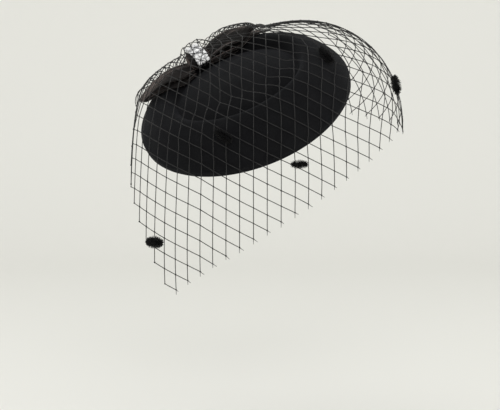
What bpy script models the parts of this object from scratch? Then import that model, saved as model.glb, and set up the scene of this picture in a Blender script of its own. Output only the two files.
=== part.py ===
"""Black felt pillbox hat with a velvet bow, a rhinestone wrap and a net veil.

Metres, +Z up. The hat keeps the tilt that it is worn with: the wearer's face looks along -Y and
the wearer's left is +X. The origin is the centre of the hat's rim opening.
"""
import math

import bmesh
import bpy
import numpy as np
from mathutils import Matrix, Vector

# The hat
RIM_RADIUS = 0.080
FELT = 0.0022
CREST_RADIUS = 0.0555
CREST_HEIGHT = 0.0275
DOME_HEIGHT = 0.0320
LEAN = 0.20                        # the ridge is this share higher on its high side
LEAN_AZIMUTH = math.radians(-74)
TILT = math.radians(38.4)          # how far the hat leans over
TILT_AZIMUTH = math.radians(-142.8)
GAP = 0.0004                       # clearance between pieces that touch
LOOSE_GAP = 1.5 * GAP              # the same for the ribbon's slanting ends and layers

# The bow, whose length runs along the hat's own X
BOW_CENTRE = (-0.075 * RIM_RADIUS, 0.58125 * RIM_RADIUS)
RIBBON = 0.0016
LOOP_WIDTH = 0.0235
LOOP_OPEN = 0.0075
LEFT_LENGTH = 0.0525
RIGHT_LENGTH = 0.046
TAIL_LENGTH = 0.060
TAIL_WIDTH = 0.020
PLEAT = 0.0008
KNOT_LENGTH = 0.015
KNOT_WIDTH = 0.017
KNOT_HEIGHT = 0.012
SEAT_LIFT = 0.0014                 # the bow's stitches hold it this far off the felt
DRAPE = 0.50                       # the steepest slope that the bow's ribbon takes over the felt

# The rhinestone wrap
BAND_THICKNESS = 0.0010
STONE = 0.0031
STONE_ROWS = 6
STONE_COLUMNS = 3

# The hidden comb
COMB_LENGTH = 0.052
COMB_BAR = 0.007
COMB_THICKNESS = 0.0016
COMB_TOOTH = 0.0018
COMB_TOOTH_LENGTH = 0.026
COMB_TEETH = 9
COMB_AZIMUTH = math.radians(37)
COMB_LIFT = 0.001                  # how far inside the rim its underside lies

# The veil
STRAND = 0.0017
VEIL_REACH = 0.100
VEIL_DROP = 0.140
GATHER_RADIUS = 0.91875 * RIM_RADIUS   # from the hat's axis to the seam behind the bow
GATHER_START = math.radians(124)
GATHER_END = math.radians(54)
WALL_SLOPE = math.radians(52)      # of the felt where the veil is sewn down
LINE_STEPS = 60
VEIL_DEEP = 0.92                   # its reach to front and back, as a share of that to the sides
VEIL_SHEAR = math.radians(78)      # how far the net's lines swing round from gather to hem
SHEAR_EASE = 0.28                  # the share of that swing which is spent close to the hem
HEM_START = math.radians(-68.5)
HEM_END = math.radians(122)
NET_COLUMNS = 20                   # half diamonds along the hem
VEIL_CENTRE = (0.017, 0.002)
VEIL_CLEARANCE = 0.0044            # between the net's middle and what it is draped over
SEWN_CLEARANCE = STRAND / 2 + 2 * GAP   # the same where it is sewn down
VEIL_BEND = 0.008                  # how tightly the net rounds off over a high place
CLEAR_BY = 0.03                    # the share of its width in which the net comes clear

# The chenille dots
DOT_LENGTH = 0.0135
DOT_WIDTH = 0.0085
DOT_TUFTS = 7
DOT_SEAT = 0.30                    # its flat underside lies this share of its width below its middle

# The felt's outer section from the middle out. out is a share of the ridge's radius, and on the wall
# one of the way from the ridge to the rim. height is a share of the dome's height or the ridge's.
FELT_SECTION = [
    {"on": "dome", "out": 0.00, "height": 1.000},
    {"on": "dome", "out": 0.16, "height": 0.992},
    {"on": "dome", "out": 0.34, "height": 0.960},
    {"on": "dome", "out": 0.52, "height": 0.895},
    {"on": "dome", "out": 0.68, "height": 0.800},
    {"on": "dome", "out": 0.79, "height": 0.690},
    {"on": "dome", "out": 0.850, "height": 0.660},
    {"on": "ridge", "out": 0.895, "height": 0.900},
    {"on": "ridge", "out": 0.945, "height": 0.985},
    {"on": "ridge", "out": 1.000, "height": 1.000},
    {"on": "wall", "out": 0.170, "height": 0.955},
    {"on": "wall", "out": 0.374, "height": 0.855},
    {"on": "wall", "out": 0.600, "height": 0.690},
    {"on": "wall", "out": 0.827, "height": 0.450},
    {"on": "wall", "out": 0.997, "height": 0.210},
]

# The veil's lines from gather to hem, by the direction that each hangs in. Azimuth 0 is where the
# wearer looks. shove is a share of the way out to the foot, hem is one of VEIL_DROP, and the rest
# are shares of VEIL_REACH.
VEIL_LINES = [
    {"azimuth": -150, "reach": 0.98, "shove": 0.50, "crown": 0.20, "shoulder": 0.10, "hem": -0.95},
    {"azimuth": -115, "reach": 1.03, "shove": 0.60, "crown": 0.28, "shoulder": 0.15, "hem": -0.98},
    {"azimuth": -85, "reach": 1.00, "shove": 0.50, "crown": 0.46, "shoulder": 0.10, "hem": -1.00},
    {"azimuth": -72, "reach": 0.98, "shove": 0.46, "crown": 0.54, "shoulder": 0.10, "hem": -1.00},
    {"azimuth": -49, "reach": 0.94, "shove": 0.44, "crown": 0.64, "shoulder": 0.12, "hem": -0.81},
    {"azimuth": -32, "reach": 0.92, "shove": 0.43, "crown": 0.70, "shoulder": 0.18, "hem": -0.69},
    {"azimuth": -17, "reach": 0.91, "shove": 0.43, "crown": 0.75, "shoulder": 0.26, "hem": -0.56},
    {"azimuth": 1, "reach": 0.92, "shove": 0.44, "crown": 0.79, "shoulder": 0.37, "hem": -0.48},
    {"azimuth": 24, "reach": 0.96, "shove": 0.47, "crown": 0.83, "shoulder": 0.48, "hem": -0.37},
    {"azimuth": 45, "reach": 1.02, "shove": 0.50, "crown": 0.86, "shoulder": 0.55, "hem": -0.19},
    {"azimuth": 65, "reach": 1.04, "shove": 0.50, "crown": 0.86, "shoulder": 0.56, "hem": -0.10},
    {"azimuth": 95, "reach": 0.98, "shove": 0.50, "crown": 0.82, "shoulder": 0.48, "hem": -0.04},
    {"azimuth": 125, "reach": 0.88, "shove": 0.50, "crown": 0.70, "shoulder": 0.36, "hem": 0.02},
]

# The rows of the coarse net from the gather (0) to the hem (1)
NET_ROWS = [0.0, 0.14, 0.29, 0.45, 0.60, 0.73, 0.84, 0.925, 1.0]

# Where each chenille dot is tied on: the net's knot that carries it, by its column and row, and
# the knot's own place as shares along the hem and from gather to hem
DOTS = [
    {"column": 1, "row": 5, "along": 0.045, "across": 0.778, "turn": 0, "size": 1.00},
    {"column": 6, "row": 4, "along": 0.300, "across": 0.620, "turn": -30, "size": 0.95},
    {"column": 8, "row": 6, "along": 0.378, "across": 0.844, "turn": 0, "size": 0.75},
    {"column": 12, "row": 4, "along": 0.610, "across": 0.595, "turn": 90, "size": 1.00},
    {"column": 14, "row": 6, "along": 0.700, "across": 0.854, "turn": 60, "size": 1.00},
]


def smooth(rows, key, column, at):
    """Reads a table's column at a place between its rows, with a smooth curve through them."""
    places = [row[key] for row in rows]
    values = [row[column] for row in rows]
    slopes = []
    for k in range(len(rows)):
        before, after = max(k - 1, 0), min(k + 1, len(rows) - 1)
        slopes.append((values[after] - values[before]) / (places[after] - places[before]))
    k = 0
    while k < len(rows) - 2 and at > places[k + 1]:
        k += 1
    step = places[k + 1] - places[k]
    u = min(max((at - places[k]) / step, 0.0), 1.0)
    return ((1 + 2 * u) * (1 - u) ** 2 * values[k] + u * (1 - u) ** 2 * step * slopes[k]
            + u * u * (3 - 2 * u) * values[k + 1] - u * u * (1 - u) * step * slopes[k + 1])


def material(name, colour, roughness, metallic=0.0):
    made = bpy.data.materials.new(name)
    made.use_nodes = True
    shader = made.node_tree.nodes["Principled BSDF"]
    shader.inputs["Base Color"].default_value = (*colour, 1.0)
    shader.inputs["Roughness"].default_value = roughness
    shader.inputs["Metallic"].default_value = metallic
    made.diffuse_color = (*colour, 1.0)
    return made


def add_object(name, mesh, finish, parent=None, matrix=None):
    """Puts a mesh into the hat's collection with its own material."""
    part = bpy.data.objects.new(name, mesh)
    bpy.data.collections["pillbox_hat"].objects.link(part)
    mesh.materials.append(material(name, *finish))
    mesh.shade_smooth()
    mesh.set_sharp_from_angle(angle=math.radians(40))
    part.parent = parent
    if matrix is not None:
        part.matrix_local = matrix
    return part


def mesh_from(bm, name):
    mesh = bpy.data.meshes.new(name)
    bmesh.ops.recalc_face_normals(bm, faces=bm.faces)
    bm.to_mesh(mesh)
    bm.free()
    return mesh


def grid_mesh(name, rows, closed=False):
    """A sheet through rows of points that have the same count."""
    bm = bmesh.new()
    verts = [[bm.verts.new(point) for point in row] for row in rows]
    for first, second in zip(verts, verts[1:]):
        for k in range(len(first) - (0 if closed else 1)):
            n = (k + 1) % len(first)
            bm.faces.new((first[k], first[n], second[n], second[k]))
    mesh = bpy.data.meshes.new(name)
    bm.to_mesh(mesh)
    bm.free()
    return mesh


def thicken(part, thickness, offset=0.0, even=True):
    shell = part.modifiers.new("wall", "SOLIDIFY")
    shell.thickness = thickness
    shell.offset = offset
    shell.use_even_offset = even


def hat_matrix():
    """The turn that leans the level hat over towards TILT_AZIMUTH."""
    axis = Vector((-math.sin(TILT_AZIMUTH), math.cos(TILT_AZIMUTH), 0.0))
    return Matrix.Rotation(TILT, 4, axis)


def lean_factor(radius, azimuth):
    inner = min(radius / CREST_RADIUS, 1.0)
    outer = min(max((RIM_RADIUS - radius) / (RIM_RADIUS - CREST_RADIUS), 0.0), 1.0)
    return 1.0 + LEAN * inner * outer ** 0.5 * math.cos(azimuth - LEAN_AZIMUTH)


def felt_points():
    """The outer section as radius and height, out to the rim's upright edge."""
    points = []
    for row in FELT_SECTION:
        top = DOME_HEIGHT if row["on"] == "dome" else CREST_HEIGHT
        radius = CREST_RADIUS * row["out"]
        if row["on"] == "wall":
            radius = CREST_RADIUS + (RIM_RADIUS - CREST_RADIUS) * row["out"]
        points.append((radius, row["height"] * top))
    points.append((RIM_RADIUS, FELT))
    points.append((RIM_RADIUS, 0.0))
    return points


def felt_height(x, y):
    """Height of the felt's outer face over a place in the rim's plane."""
    radius = math.hypot(x, y)
    points = felt_points()
    if radius >= points[-1][0]:
        return 0.0
    for (r0, h0), (r1, h1) in zip(points, points[1:]):
        if r0 <= radius <= r1 and r1 > r0:
            height = h0 + (h1 - h0) * (radius - r0) / (r1 - r0)
            return height * lean_factor(radius, math.atan2(y, x))
    return 0.0


def felt_inside(level):
    """How far from the hat's axis the felt's inner face is, at a level over the rim's plane."""
    sides = [(math.cos(math.pi * k / 4), math.sin(math.pi * k / 4)) for k in range(8)]
    radius = RIM_RADIUS - FELT
    step = FELT / 10
    while radius > step:
        low = min(felt_height(radius * x, radius * y) for x, y in sides)
        drop = low - min(felt_height((radius + step) * x, (radius + step) * y) for x, y in sides)
        if low - FELT * math.hypot(drop, step) / step > level:
            break
        radius -= step
    return radius


def build_felt(hat):
    """One blocked felt: domed top, valley, ridge ring and side wall, open below."""
    steps = 48
    bm = bmesh.new()
    points = felt_points()
    top = bm.verts.new((0.0, 0.0, points[0][1]))
    rings = []
    for radius, height in points[1:]:
        ring = []
        for k in range(steps):
            azimuth = 2 * math.pi * k / steps
            level = height * lean_factor(radius, azimuth)
            ring.append(bm.verts.new((radius * math.cos(azimuth), radius * math.sin(azimuth), level)))
        rings.append(ring)
    for k in range(steps):
        n = (k + 1) % steps
        bm.faces.new((top, rings[0][k], rings[0][n]))
        for inner, outer in zip(rings, rings[1:]):
            bm.faces.new((inner[k], outer[k], outer[n], inner[n]))
    mesh = bpy.data.meshes.new("felt_crown")
    bm.to_mesh(mesh)
    bm.free()
    felt = add_object("felt_crown", mesh, ((0.012, 0.012, 0.013), 0.95), hat)
    thicken(felt, FELT, -1.0)


def seat(x, y, width):
    """How high a ribbon's underside lies at a place: it bridges dips with DRAPE's slope."""
    highest = 0.0
    for over in range(9):
        for along in range(-3, 4):
            spot_y = BOW_CENTRE[1] + width * (over / 8 - 0.5)
            spot_x = x + width * along / 6
            away = math.hypot(spot_x - x, spot_y - y)
            highest = max(highest, felt_height(spot_x, spot_y) - DRAPE * away)
    return highest + SEAT_LIFT


def loop_rows(side, length, width, opening, base):
    """A ribbon loop: out along the felt, round the end and back over the top."""
    start = KNOT_LENGTH / 2 + LOOSE_GAP
    rows = []
    steps = 18
    for k in range(steps + 1):
        share = k / steps
        out = (1 - math.cos(2 * math.pi * share)) / 2
        over = (1 - math.cos(math.pi * share)) / 2
        along = start + (length - start) * out
        x = BOW_CENTRE[0] + side * along
        spread = width * (0.62 + 0.38 * math.sin(math.pi / 2 * min(1.0, 1.6 * out)))
        gape = opening * (0.42 + 0.58 * math.sin(math.pi / 2 * min(1.0, 1.5 * out)))
        row = []
        for across in (-0.5, -0.25, 0.0, 0.25, 0.5):
            y = BOW_CENTRE[1] + spread * across
            low = seat(x, y, width) + base + RIBBON / 2
            fold = PLEAT * (1 + math.cos(4 * math.pi * across)) * over * (1 - 0.6 * out)
            row.append((x, y, low + gape * over * (1 - 0.35 * across) + fold))
        rows.append(row)
    return rows


def build_bow(hat):
    velvet = ((0.010, 0.009, 0.009), 0.75)
    tail_layer = RIBBON + LOOSE_GAP
    for name, side, length, base in (("bow_loop_left", -1, LEFT_LENGTH, 0.0),
                                     ("bow_loop_right", 1, RIGHT_LENGTH, tail_layer)):
        rows = loop_rows(side, length, LOOP_WIDTH, LOOP_OPEN, base)
        loop = add_object(name, grid_mesh(name, rows), velvet, hat)
        thicken(loop, RIBBON, even=False)

    rows = []
    start = KNOT_LENGTH / 2 + LOOSE_GAP
    for k in range(11):
        share = k / 10
        x = BOW_CENTRE[0] + start + (TAIL_LENGTH - start) * share
        shift = 0.10 * TAIL_WIDTH * share
        spread = TAIL_WIDTH * (0.7 + 0.3 * share)
        notch = 0.18 * TAIL_WIDTH if k == 10 else 0.0
        row = []
        for across in (-0.5, -0.25, 0.0, 0.25, 0.5):
            back = notch * (1 - 2 * abs(across))
            y = BOW_CENTRE[1] + shift + spread * across
            row.append((x - back, y, seat(x, y, LOOP_WIDTH) + RIBBON / 2))
        rows.append(row)
    tail = add_object("bow_tail", grid_mesh("bow_tail", rows), velvet, hat)
    thicken(tail, RIBBON, even=False)
    build_knot(hat, velvet)


def knot_level():
    """The knot's middle, with its round underside on the highest felt below it."""
    places = [BOW_CENTRE[1] + KNOT_WIDTH * share for share in (-0.4, -0.2, 0.0, 0.2, 0.4)]
    x = BOW_CENTRE[0]
    felt = max(felt_height(x + side * KNOT_LENGTH / 2, y) for y in places for side in (-1, 0, 1))
    return felt + SEAT_LIFT + KNOT_HEIGHT / 2


def knot_round(scale_width, scale_height, angle):
    """A place on the knot's rounded section, by its angle from the hat's level."""
    power = 0.75
    c, s = math.cos(angle), math.sin(angle)
    return (scale_width / 2 * math.copysign(abs(c) ** power, c),
            scale_height / 2 * math.copysign(abs(s) ** power, s))


def build_knot(hat, velvet):
    """The knot is a rounded block, and the band wraps over it from front to back."""
    steps = 20
    length = KNOT_LENGTH
    rows = []
    for along, swell in ((-0.5, 0.80), (-0.42, 0.94), (0.0, 1.0), (0.42, 0.94), (0.5, 0.80)):
        row = []
        for k in range(steps):
            y, z = knot_round(KNOT_WIDTH * swell, KNOT_HEIGHT * swell, 2 * math.pi * k / steps)
            row.append((length * along, y, z))
        rows.append(row)
    mesh = grid_mesh("bow_knot", rows, closed=True)
    bm = bmesh.new()
    bm.from_mesh(mesh)
    bmesh.ops.holes_fill(bm, edges=bm.edges)
    bmesh.ops.recalc_face_normals(bm, faces=bm.faces)
    bm.to_mesh(mesh)
    bm.free()
    place = Matrix.Translation((BOW_CENTRE[0], BOW_CENTRE[1], knot_level()))
    add_object("bow_knot", mesh, velvet, hat, place)

    band_width = STONE * STONE_COLUMNS * 1.12
    first, last = math.radians(-20), math.radians(200)
    rows = []
    for k in range(17):
        angle = first + (last - first) * k / 16
        y, z = knot_round(KNOT_WIDTH, KNOT_HEIGHT, angle)
        out = Vector((0.0, math.cos(angle), math.sin(angle))) * (GAP + BAND_THICKNESS / 2)
        rows.append([(band_width * across, y + out.y, z + out.z) for across in (-0.5, 0.0, 0.5)])
    band = add_object("rhinestone_band", grid_mesh("rhinestone_band", rows),
                      ((0.62, 0.62, 0.64), 0.25, 1.0), hat, place)
    thicken(band, BAND_THICKNESS)
    build_stones(hat, place)


def stone_mesh():
    """A round stone cut with an eight-sided table, eight crown facets and a flat back."""
    bm = bmesh.new()
    half = STONE / 2
    turned = math.pi / 8
    levels = ((0.74 * half, 0.0, 0.0), (half, 0.30 * STONE, 0.0), (0.55 * half, 0.52 * STONE, turned))
    rings = []
    for radius, height, turn in levels:
        ring = []
        for k in range(8):
            angle = turn + math.pi * k / 4
            ring.append(bm.verts.new((radius * math.cos(angle), radius * math.sin(angle), height)))
        rings.append(ring)
    back, girdle, table = rings
    bm.faces.new(back)
    bm.faces.new(table)
    for k in range(8):
        n = (k + 1) % 8
        bm.faces.new((back[k], back[n], girdle[n], girdle[k]))
        bm.faces.new((girdle[k], girdle[n], table[k]))
        bm.faces.new((girdle[n], table[n], table[k]))
    return mesh_from(bm, "rhinestone")


def build_stones(hat, place):
    """Rows of stones round the knot, each seated square on the band."""
    first, last = math.radians(8), math.radians(172)
    number = 0
    for row in range(STONE_ROWS):
        angle = first + (last - first) * row / (STONE_ROWS - 1)
        y, z = knot_round(KNOT_WIDTH, KNOT_HEIGHT, angle)
        ahead = knot_round(KNOT_WIDTH, KNOT_HEIGHT, angle + 0.02)
        along = Vector((0.0, ahead[0] - y, ahead[1] - z)).normalized()
        out = Vector((0.0, along.z, -along.y))
        foot = Vector((0.0, y, z)) + out * (BAND_THICKNESS + 2 * GAP)
        for column in range(STONE_COLUMNS):
            number += 1
            x = (column - (STONE_COLUMNS - 1) / 2) * STONE * 1.10
            turn = Matrix((Vector((1, 0, 0)), along, out)).transposed().to_4x4()
            spot = place @ Matrix.Translation(foot + Vector((x, 0, 0))) @ turn
            add_object(f"rhinestone_{number}", stone_mesh(), ((0.92, 0.93, 0.95), 0.05), hat, spot)


def build_comb(hat):
    """A plain hair comb, lying flat in the rim's opening with its bar sewn to the felt."""
    inner = felt_inside(COMB_LIFT + COMB_THICKNESS + GAP) - 2 * GAP
    depth = math.sqrt(inner ** 2 - (COMB_LENGTH / 2) ** 2)
    outline = [(depth, -COMB_LENGTH / 2), (depth, COMB_LENGTH / 2)]
    pitch = (COMB_LENGTH - COMB_TOOTH) / (COMB_TEETH - 1)
    bar_edge = depth - COMB_BAR
    tip = bar_edge - COMB_TOOTH_LENGTH
    for k in reversed(range(COMB_TEETH)):
        middle = -COMB_LENGTH / 2 + COMB_TOOTH / 2 + pitch * k
        wide, fine = COMB_TOOTH / 2, COMB_TOOTH / 4
        outline += [(bar_edge, middle + wide), (tip, middle + fine),
                    (tip, middle - fine), (bar_edge, middle - wide)]
    bm = bmesh.new()
    level = COMB_THICKNESS / 2
    low = [bm.verts.new((x, y, -level)) for x, y in outline]
    face = bm.faces.new(low)
    grown = bmesh.ops.extrude_face_region(bm, geom=[face])
    lifted = [item for item in grown["geom"] if isinstance(item, bmesh.types.BMVert)]
    bmesh.ops.translate(bm, verts=lifted, vec=(0, 0, COMB_THICKNESS))
    place = Matrix.Rotation(COMB_AZIMUTH, 4, "Z") @ Matrix.Translation((0, 0, level + COMB_LIFT))
    add_object("hair_comb", mesh_from(bm, "hair_comb"), ((0.02, 0.02, 0.02), 0.35), hat, place)


def gather_point(along):
    """Where each line of the veil is sewn down: on the felt's wall, behind the bow."""
    azimuth = GATHER_START + (GATHER_END - GATHER_START) * along
    x, y = GATHER_RADIUS * math.cos(azimuth), GATHER_RADIUS * math.sin(azimuth)
    lift = SEWN_CLEARANCE / math.cos(WALL_SLOPE)
    return hat_matrix() @ Vector((x, y, felt_height(x, y) + lift))


def veil_line(start, degrees):
    """One line of the veil from the gather to below the hem, as closely spaced points."""
    def read(column):
        return smooth(VEIL_LINES, "azimuth", column, degrees)
    azimuth = math.radians(degrees)
    reach = read("reach") * VEIL_REACH
    foot = Vector((VEIL_CENTRE[0] + reach * math.sin(azimuth),
                   VEIL_CENTRE[1] - reach * VEIL_DEEP * math.cos(azimuth), 0.0))
    second = start.lerp(foot, read("shove"))
    second.z = read("crown") * VEIL_REACH
    third = Vector((foot.x, foot.y, read("shoulder") * VEIL_REACH))
    last = Vector((foot.x, foot.y, read("hem") * VEIL_DROP))
    points = []
    for k in range(LINE_STEPS + 1):
        t = k / LINE_STEPS
        points.append(start * (1 - t) ** 3 + second * 3 * t * (1 - t) ** 2
                      + third * 3 * t * t * (1 - t) + last * t ** 3)
    points.append(last - Vector((0, 0, VEIL_DROP)))
    return points


def solid_points():
    """The corners and the middles of the faces that the net is draped over, in world space."""
    bpy.context.view_layer.update()
    graph = bpy.context.evaluated_depsgraph_get()
    points = []
    for part in bpy.data.collections["pillbox_hat"].objects:
        if part.type == "MESH":
            mesh = part.evaluated_get(graph).to_mesh()
            points += [part.matrix_world @ vertex.co for vertex in mesh.vertices]
            points += [part.matrix_world @ face.center for face in mesh.polygons]
    return np.array(points)


def hold_off(point, clearance, solids):
    """Moves a place on the net outwards until it clears the hat and the bow."""
    out = np.array(point.normalized())
    along = solids @ out
    beside = (solids ** 2).sum(axis=1) - along ** 2
    need = float((along + clearance - beside / (2 * VEIL_BEND)).max())
    return point.normalized() * max(need, point.length)


def walk(points, distance):
    for a, b in zip(points, points[1:]):
        step = (b - a).length
        if distance <= step:
            return a + (b - a) * (distance / step)
        distance -= step
    return points[-1]


def veil_point(along, across, solids):
    """A place on the veil by its shares along the hem and from the gather to the hem."""
    hem_azimuth = HEM_START + (HEM_END - HEM_START) * along
    back = 1 - across
    azimuth = hem_azimuth - VEIL_SHEAR * (back - SHEAR_EASE * back * back)
    start = gather_point(along)
    own = veil_line(start, math.degrees(hem_azimuth))[:LINE_STEPS + 1]
    length = sum((b - a).length for a, b in zip(own, own[1:]))
    point = walk(veil_line(start, math.degrees(azimuth)), across * length)
    share = min(across / CLEAR_BY, 1.0)
    return hold_off(point, SEWN_CLEARANCE + (VEIL_CLEARANCE - SEWN_CLEARANCE) * share, solids)


def build_veil(solids):
    """The net, cut through in diamonds, with its edges closed by a strand."""
    columns, rows = NET_COLUMNS, len(NET_ROWS) - 1
    knots = {(dot["column"], dot["row"]): (dot["along"], dot["across"]) for dot in DOTS}
    bm = bmesh.new()
    verts = {}

    def place(a, b):
        if (a, b) in knots:
            return knots[a, b]
        return a / columns, NET_ROWS[b]

    def strand(here, there):
        """The points of the strand between two knots, without its last one."""
        first, last = sorted((here, there))
        steps = 4 if min(here[1], there[1]) < 2 else 2
        points = []
        for k in range(steps + 1):
            key = (first, last, k) if 0 < k < steps else (first if k == 0 else last)
            if key not in verts:
                ends = zip(place(*first), place(*last))
                along, across = (a + (b - a) * k / steps for a, b in ends)
                verts[key] = bm.verts.new(veil_point(along, across, solids))
            points.append(verts[key])
        return points[:-1] if here == first else points[:0:-1]

    for a in range(columns + 1):
        for b in range(rows + 1):
            if (a + b) % 2 == 0:
                continue
            ring = [(a - 1, b), (a, b - 1), (a + 1, b), (a, b + 1)]
            ring = [(x, y) for x, y in ring if 0 <= x <= columns and 0 <= y <= rows]
            corners = []
            for here, there in zip(ring, ring[1:] + ring[:1]):
                corners += strand(here, there)
            bm.faces.new(corners)
    gaps = bm.faces[:]
    bmesh.ops.recalc_face_normals(bm, faces=gaps)
    bmesh.ops.inset_individual(bm, faces=gaps, thickness=STRAND / 2, use_even_offset=True)
    bmesh.ops.delete(bm, geom=gaps, context="FACES")
    for vert in bm.verts:
        vert.co = hold_off(vert.co, SEWN_CLEARANCE, solids)
    mesh = bpy.data.meshes.new("veil")
    bm.to_mesh(mesh)
    bm.free()
    veil = add_object("veil", mesh, ((0.015, 0.015, 0.016), 0.7))
    thicken(veil, STRAND, even=False)


def build_dots(solids):
    for number, row in enumerate(DOTS, 1):
        along, across = row["along"], row["across"]
        here, left, right, above, below = (
            veil_point(along + step_along, across + step_across, solids)
            for step_along, step_across in ((0, 0), (-0.02, 0), (0.02, 0), (0, -0.02), (0, 0.02)))
        side, down = (right - left).normalized(), (below - above).normalized()
        out = side.cross(down)
        out = -out.normalized() if out.dot(here) < 0 else out.normalized()
        level = Vector((out.y, -out.x, 0.0)).normalized()
        turn = Matrix((level, out.cross(level), out)).transposed().to_4x4()
        length, width = DOT_LENGTH * row["size"], DOT_WIDTH * row["size"]
        bm = bmesh.new()
        bmesh.ops.create_uvsphere(bm, u_segments=2 * DOT_TUFTS, v_segments=6, radius=0.5)
        for v in bm.verts:
            tuft = 1.0 + 0.10 * math.cos(DOT_TUFTS * math.atan2(v.co.y, v.co.x))
            v.co = Vector((v.co.x * length, v.co.y * width, v.co.z * width)) * tuft
        bmesh.ops.bisect_plane(bm, geom=bm.verts[:] + bm.edges[:] + bm.faces[:],
                               plane_co=(0, 0, -DOT_SEAT * width), plane_no=(0, 0, -1),
                               clear_outer=True)
        bmesh.ops.holes_fill(bm, edges=bm.edges)
        lift = out * (SEWN_CLEARANCE + DOT_SEAT * width)
        spin = Matrix.Rotation(math.radians(row["turn"]), 4, "Z")
        place = Matrix.Translation(here + lift) @ turn @ spin
        name = f"chenille_dot_{number}"
        add_object(name, mesh_from(bm, name), ((0.008, 0.008, 0.008), 0.9), None, place)


def main():
    for old in list(bpy.data.objects):
        bpy.data.objects.remove(old)
    collection = bpy.data.collections.new("pillbox_hat")
    bpy.context.scene.collection.children.link(collection)
    hat = bpy.data.objects.new("hat_tilt", None)
    collection.objects.link(hat)
    hat.matrix_world = hat_matrix()
    build_felt(hat)
    build_bow(hat)
    build_comb(hat)
    solids = solid_points()
    build_veil(solids)
    build_dots(solids)


main()
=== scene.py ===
"""Looks of the pillbox hat: felt, velvet bow, rhinestone wrap, net veil and chenille dots.

Metres, +Z up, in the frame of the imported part. The wearer's face looks along -Y, the wearer's left
is +X, and the origin is the centre of the hat's rim opening.
"""

import math
import random

import bmesh
import bpy
import numpy as np
from mathutils import Matrix, Vector, noise


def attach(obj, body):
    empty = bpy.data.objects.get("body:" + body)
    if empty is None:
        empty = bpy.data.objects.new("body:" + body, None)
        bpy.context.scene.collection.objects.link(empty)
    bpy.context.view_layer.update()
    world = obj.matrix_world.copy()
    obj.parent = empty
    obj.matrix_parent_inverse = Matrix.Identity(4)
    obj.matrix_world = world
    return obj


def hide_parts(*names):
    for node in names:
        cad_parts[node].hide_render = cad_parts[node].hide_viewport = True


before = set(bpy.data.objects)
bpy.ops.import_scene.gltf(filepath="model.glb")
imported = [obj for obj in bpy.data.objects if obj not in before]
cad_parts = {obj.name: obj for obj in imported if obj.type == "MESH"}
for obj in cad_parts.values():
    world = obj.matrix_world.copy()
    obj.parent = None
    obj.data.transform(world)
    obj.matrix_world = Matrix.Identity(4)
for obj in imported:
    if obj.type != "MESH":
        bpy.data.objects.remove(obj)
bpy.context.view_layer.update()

# The hat, as in the part's source
RIM_RADIUS = 0.080
FELT = 0.0022
CREST_RADIUS = 0.0555
CREST_HEIGHT = 0.0275
DOME_HEIGHT = 0.0320
LEAN = 0.20
LEAN_AZIMUTH = math.radians(-74)
TILT = math.radians(38.4)
TILT_AZIMUTH = math.radians(-142.8)
GAP = 0.0004

# The bow
BOW_CENTRE = (-0.006, 0.0465)
RIBBON = 0.0016
LOOP_WIDTH = 0.0235
LOOP_OPEN = 0.0075
LEFT_LENGTH = 0.0525
RIGHT_LENGTH = 0.046
TAIL_LENGTH = 0.060
TAIL_WIDTH = 0.020
KNOT_LENGTH = 0.015
KNOT_WIDTH = 0.017
KNOT_HEIGHT = 0.012
SEAT_LIFT = 0.0014
DRAPE = 0.50
ROUND_FROM = 0.72                  # the share of a loop's length where its corners start to round
ROUND_OFF = 0.36                   # the share of its width that they take off at the fold

# The rhinestone wrap
BAND_THICKNESS = 0.0010
STONE = 0.0031
STONE_ROWS = 6
STONE_COLUMNS = 3

# The veil
VEIL_REACH = 0.100
VEIL_DROP = 0.140
GATHER_RADIUS = 0.0735
GATHER_START = math.radians(124)
GATHER_END = math.radians(54)
SEWN_LIFT = 0.0014                 # of the threads over the felt where the net is sewn down
LINE_STEPS = 60
VEIL_DEEP = 0.92
VEIL_SHEAR = math.radians(78)
SHEAR_EASE = 0.28
HEM_START = math.radians(-68.5)
HEM_END = math.radians(122)
VEIL_CENTRE = (0.017, 0.002)
VEIL_CLEARANCE = 0.0016            # between the thread's middle and what the net is draped over
VEIL_BEND = 0.008
CLEAR_BY = 0.03
THREAD = 0.00060                   # the net's thread
MESH_SIDE = 0.0107                 # of one diamond, from knot to knot
HEM_TAIL = 0.0036                  # the cut threads at the hem
STITCHES = 60                      # along the gathered edge
STITCH_THREAD = 0.00036

# How the net lies: a knot's place as shares along the hem and from gather to hem, and the ways that
# the two threads run from it in the picture, right and down
FIRST_KNOT = (0.367, 0.660)
DOWN_WAY = (0.0, 1.0)
SIDE_WAY = (2.0, 1.0)
FACING = 0.45                      # how squarely the net faces the camera where a thread is steered
KNOT_REACH = 40                    # knots along each steered thread
HEM_ROW, SEAM_ROW = 7, -17         # the mesh's rows, counted from the first knot
LEFT_COLUMN, RIGHT_COLUMN = -20, 34
EVEN_UNTIL = 0.68                  # the share along the hem where the even diamonds end
EVEN_FROM = 0.25                   # and the share of the way to the hem where they start
MIN_ANGLE = math.radians(36)       # between two threads where a diamond is still even
MIN_DIAMOND = 0.003                # the least distance between a diamond's far knots
PAST_SIDES = 0.10                  # how far past the veil's sides, seam and hem, in its own shares,
PAST_SEAM = 0.06                   # the even diamonds are still worked out
PAST_HEM = 0.70
SEAM_ROWS = 4                      # rows at the seam that are always gathered, and never even
EASE_ROUNDS = 600                  # of drawing each gathered knot to the middle of its neighbours
GRID_ALONG, GRID_ACROSS = 121, 61  # places at which the veil's surface is worked out
SLOPE_STEP = 0.01                  # over which its slope is taken, in its own shares
SETTLE_ROUNDS = 30                 # of the search for a place on it, and how far one may go
SETTLE_STEP = 0.05
SETTLE_CLOSE = 1e-7

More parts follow.
